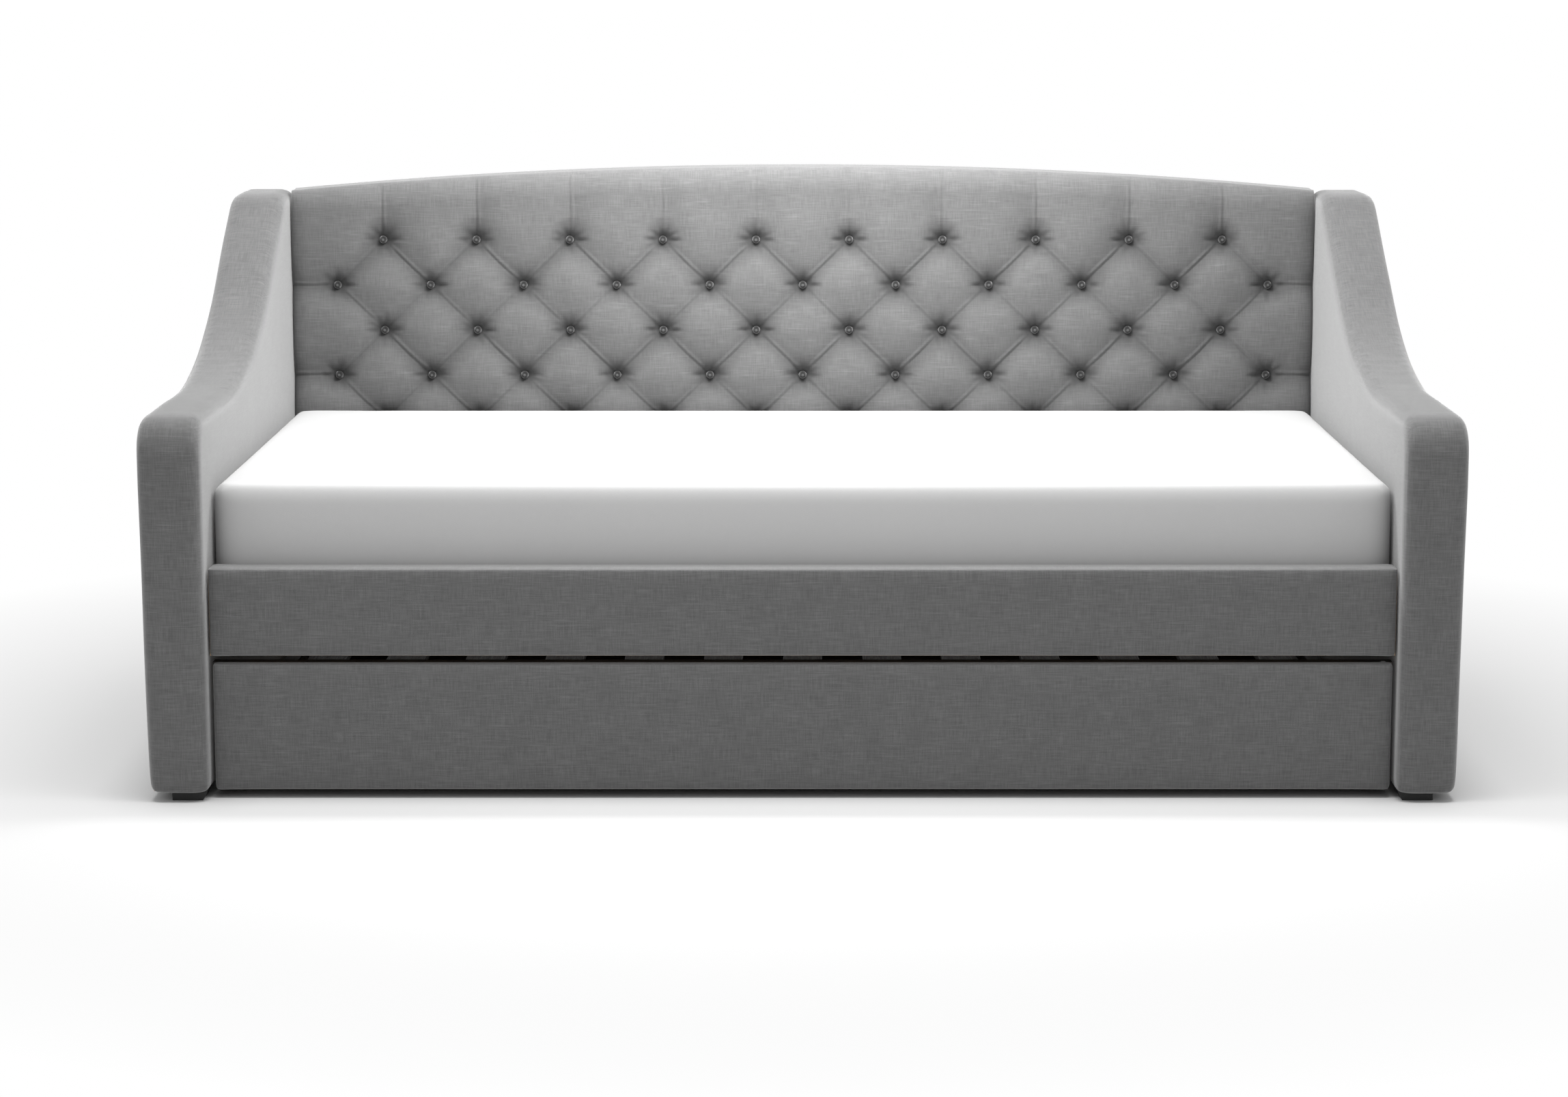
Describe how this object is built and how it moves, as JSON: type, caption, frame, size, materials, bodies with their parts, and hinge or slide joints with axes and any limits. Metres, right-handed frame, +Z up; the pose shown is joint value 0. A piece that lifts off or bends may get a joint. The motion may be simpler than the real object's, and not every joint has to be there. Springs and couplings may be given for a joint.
{
  "type": "trundle bed",
  "caption": "Upholstered daybed with sloping arms, a button-tufted arched back, a mattress on slats, and a rolling trundle with a matching front.",
  "frame": {"origin": "on the floor, under the middle of the bed's bounding box", "axes": "+X along the bed to its right arm seen from the front, -Y to the front, +Z up"},
  "size_m": [2.13, 1.19, 0.9628],
  "materials": {
    "upholstery_fabric": "grey linen-look plain weave with slubs",
    "rear_fabric": "the same grey weave, stretched flat",
    "mattress_fabric": "white knitted mattress cover",
    "foam": "open-cell foam",
    "plywood": "sanded plywood",
    "pine": "planed pine",
    "slat_wood": "planed slats with eased edges",
    "foot_plastic": "black moulded plastic",
    "wheel_plastic": "black moulded wheels",
    "tie_plastic": "white nylon",
    "bracket_steel": "black powder coat",
    "zinc_steel": "zinc-plated steel",
    "webbing": "black woven webbing"
  },
  "bodies": {
    "root": {"arm_cover_left": "upholstery_fabric", "arm_cover_right": "upholstery_fabric", "arm_foam_left": "foam", "arm_foam_right": "foam", "arm_inner_panel_left": "plywood", "arm_inner_panel_right": "plywood", "arm_outer_panel_left": "plywood", "arm_outer_panel_right": "plywood", "arm_posts_left": "pine", "arm_posts_right": "pine", "arm_rails_left": "pine", "arm_rails_right": "pine", "back_board": "plywood", "back_bottom_rail": "pine", "back_cover": "upholstery_fabric", "back_foam": "foam", "back_rear_cover": "rear_fabric", "back_stiles": "pine", "back_top_rail": "pine", "barrel_nuts": "zinc_steel", "beam_hangers": "bracket_steel", "centre_beam": "pine", "foot_front_left": "foot_plastic", "foot_front_right": "foot_plastic", "foot_rear_left": "foot_plastic", "foot_rear_right": "foot_plastic", "frame_bolts": "zinc_steel", "front_cleat": "pine", "front_rail_beam": "pine", "front_rail_cover": "upholstery_fabric", "front_rail_foam": "foam", "rail_brackets": "bracket_steel", "rear_slat_rail": "pine", "slat_straps": "webbing", "slats": "slat_wood", "tuft_buttons": "upholstery_fabric", "tuft_ties": "tie_plastic", "wood_screws": "zinc_steel"},
    "trundle": {"trundle_front_board": "plywood", "trundle_front_cover": "upholstery_fabric", "trundle_front_foam": "foam", "trundle_front_rail": "pine", "trundle_rear_rail": "pine", "trundle_screws": "zinc_steel", "trundle_side_left": "pine", "trundle_side_right": "pine", "trundle_slats": "slat_wood", "trundle_stretcher": "pine", "wheel_axles": "zinc_steel", "wheel_brackets": "bracket_steel"},
    "mattress": {"mattress_base": "mattress_fabric", "mattress_core": "foam", "mattress_cover": "mattress_fabric"},
    "wheel_front_left": {"wheel_front_left": "wheel_plastic"},
    "wheel_front_middle": {"wheel_front_middle": "wheel_plastic"},
    "wheel_front_right": {"wheel_front_right": "wheel_plastic"},
    "wheel_rear_left": {"wheel_rear_left": "wheel_plastic"},
    "wheel_rear_middle": {"wheel_rear_middle": "wheel_plastic"},
    "wheel_rear_right": {"wheel_rear_right": "wheel_plastic"}
  },
  "joints": [
    {"name": "trundle_slide", "type": "slide", "parent": "root", "child": "trundle", "axis": [0, -1, 0], "range_m": [0, 1.05]},
    {"name": "mattress_lift", "type": "slide", "parent": "root", "child": "mattress", "axis": [0, 0, 1], "range_m": [0, 0.65]},
    {"name": "wheel_front_left_roll", "type": "hinge", "parent": "trundle", "child": "wheel_front_left", "pos_m": [0, -0.434, 0.025], "axis": [1, 0, 0], "continuous": true},
    {"name": "wheel_front_middle_roll", "type": "hinge", "parent": "trundle", "child": "wheel_front_middle", "pos_m": [0, -0.434, 0.025], "axis": [1, 0, 0], "continuous": true},
    {"name": "wheel_front_right_roll", "type": "hinge", "parent": "trundle", "child": "wheel_front_right", "pos_m": [0, -0.434, 0.025], "axis": [1, 0, 0], "continuous": true},
    {"name": "wheel_rear_left_roll", "type": "hinge", "parent": "trundle", "child": "wheel_rear_left", "pos_m": [0, 0.38, 0.025], "axis": [1, 0, 0], "continuous": true},
    {"name": "wheel_rear_middle_roll", "type": "hinge", "parent": "trundle", "child": "wheel_rear_middle", "pos_m": [0, 0.38, 0.025], "axis": [1, 0, 0], "continuous": true},
    {"name": "wheel_rear_right_roll", "type": "hinge", "parent": "trundle", "child": "wheel_rear_right", "pos_m": [0, 0.38, 0.025], "axis": [1, 0, 0], "continuous": true}
  ],
  "couplings": [
    {"joint": "wheel_front_left_roll", "follows": "trundle_slide", "rad_per_m": 40},
    {"joint": "wheel_front_middle_roll", "follows": "trundle_slide", "rad_per_m": 40},
    {"joint": "wheel_front_right_roll", "follows": "trundle_slide", "rad_per_m": 40},
    {"joint": "wheel_rear_left_roll", "follows": "trundle_slide", "rad_per_m": 40},
    {"joint": "wheel_rear_middle_roll", "follows": "trundle_slide", "rad_per_m": 40},
    {"joint": "wheel_rear_right_roll", "follows": "trundle_slide", "rad_per_m": 40}
  ]
}
